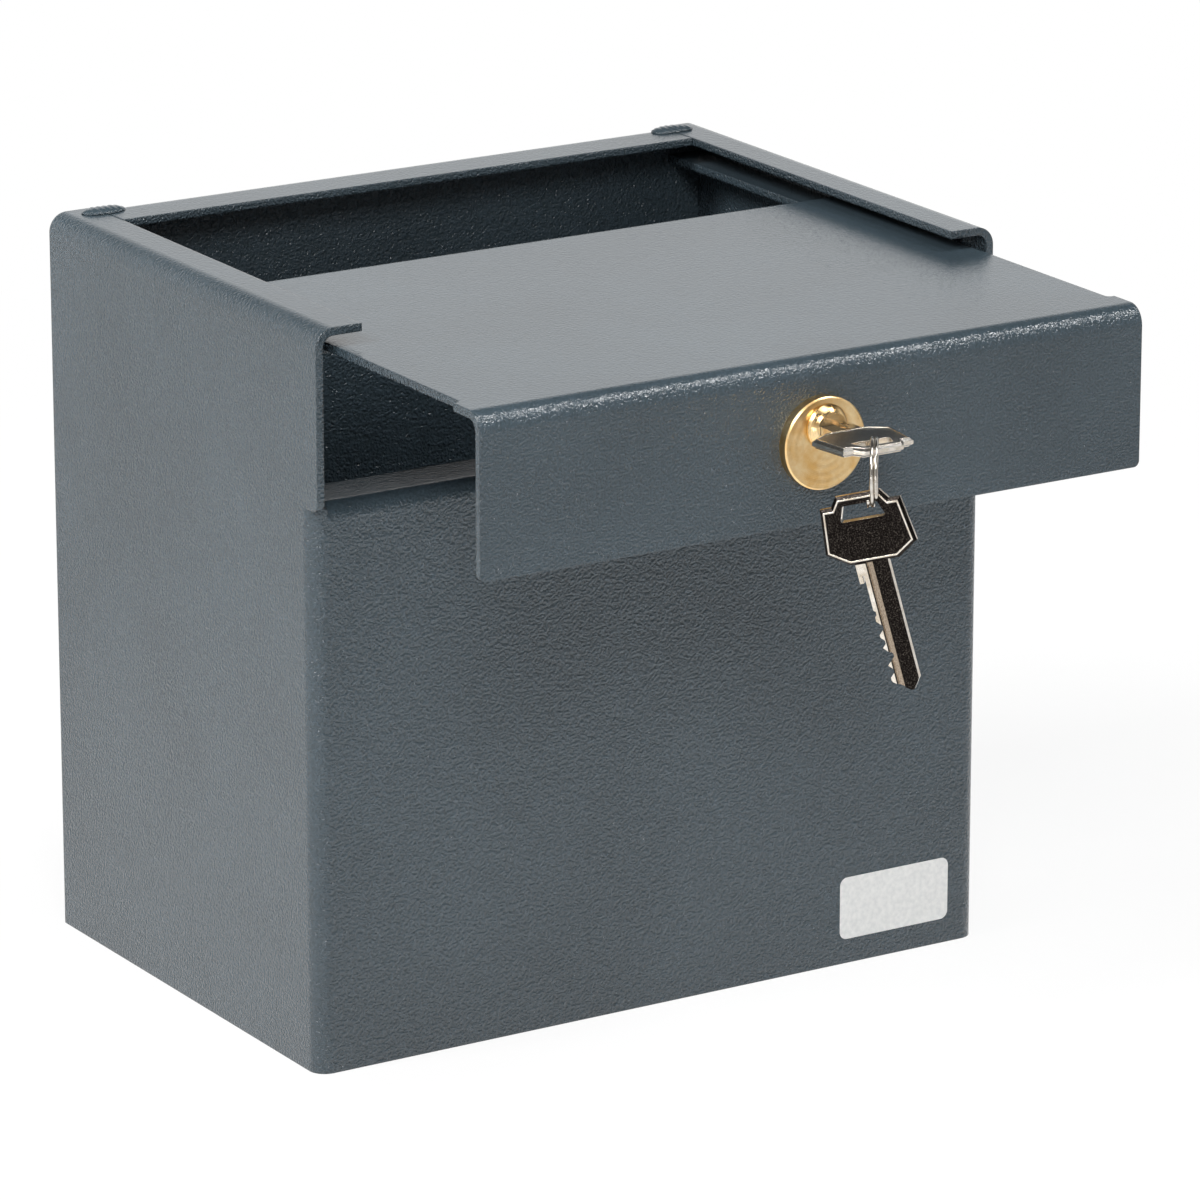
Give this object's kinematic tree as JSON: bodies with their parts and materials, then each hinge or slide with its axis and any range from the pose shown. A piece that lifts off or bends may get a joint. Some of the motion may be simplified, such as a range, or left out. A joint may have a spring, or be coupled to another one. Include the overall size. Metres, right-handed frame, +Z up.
{
  "type": "car safe",
  "caption": "Steel car safe: folded open-top box with a sliding lid drawn out, brass cam lock with a key in it, and a spare key on a split ring.",
  "frame": {"origin": "centre of the flat underside that the safe rests on", "axes": "+Z up, the front panel and the lock face -Y, +X to the right seen from the front"},
  "size_m": [0.2, 0.2459, 0.1958],
  "materials": {
    "powder_coated_steel": "textured powder coat",
    "turned_brass": "turned",
    "zinc_plated_steel": "zinc plated",
    "spring_steel": "nickel plated",
    "nickel_plated_brass": "nickel plated"
  },
  "bodies": {
    "safe_body": {"front_and_side_sheet": "powder_coated_steel", "rear_wall": "powder_coated_steel", "base_plate": "powder_coated_steel", "guide_rail_left": "powder_coated_steel", "guide_rail_right": "powder_coated_steel", "rail_tack_welds": "powder_coated_steel", "base_tack_welds": "powder_coated_steel", "rear_tack_welds": "powder_coated_steel", "rear_corner_welds": "powder_coated_steel"},
    "sliding_lid": {"lid": "powder_coated_steel", "lock_body": "turned_brass", "lock_nut": "zinc_plated_steel", "driver_pins": "turned_brass", "pin_springs": "spring_steel", "chamber_plugs": "turned_brass"},
    "turning_plug": {"lock_plug": "turned_brass", "key_pins": "turned_brass", "lock_cam": "zinc_plated_steel", "cam_washer": "zinc_plated_steel", "cam_nut": "zinc_plated_steel", "key_in_lock": "nickel_plated_brass"},
    "split_ring": {"key_ring": "spring_steel"},
    "hanging_key": {"spare_key": "nickel_plated_brass"}
  },
  "joints": [
    {"name": "lid_slide", "type": "slide", "parent": "safe_body", "child": "sliding_lid", "axis": [0, 1, 0], "range_m": [-0.04, 0.0707]},
    {"name": "lock_turn", "type": "hinge", "parent": "sliding_lid", "child": "turning_plug", "pos_m": [0, -0.1473, 0.1725], "axis": [0, 1, 0], "range_deg": [0, 90]},
    {"name": "ring_swing", "type": "hinge", "parent": "turning_plug", "child": "split_ring", "pos_m": [-0.0034, -0.17016, 0.16775], "axis": [0.808, -0.5892, 0], "range_deg": [-60, 15]},
    {"name": "spare_key_swing", "type": "hinge", "parent": "split_ring", "child": "hanging_key", "pos_m": [-0.0034, -0.17016, 0.15975], "axis": [0.5892, 0.808, 0], "range_deg": [-12, 40]}
  ]
}
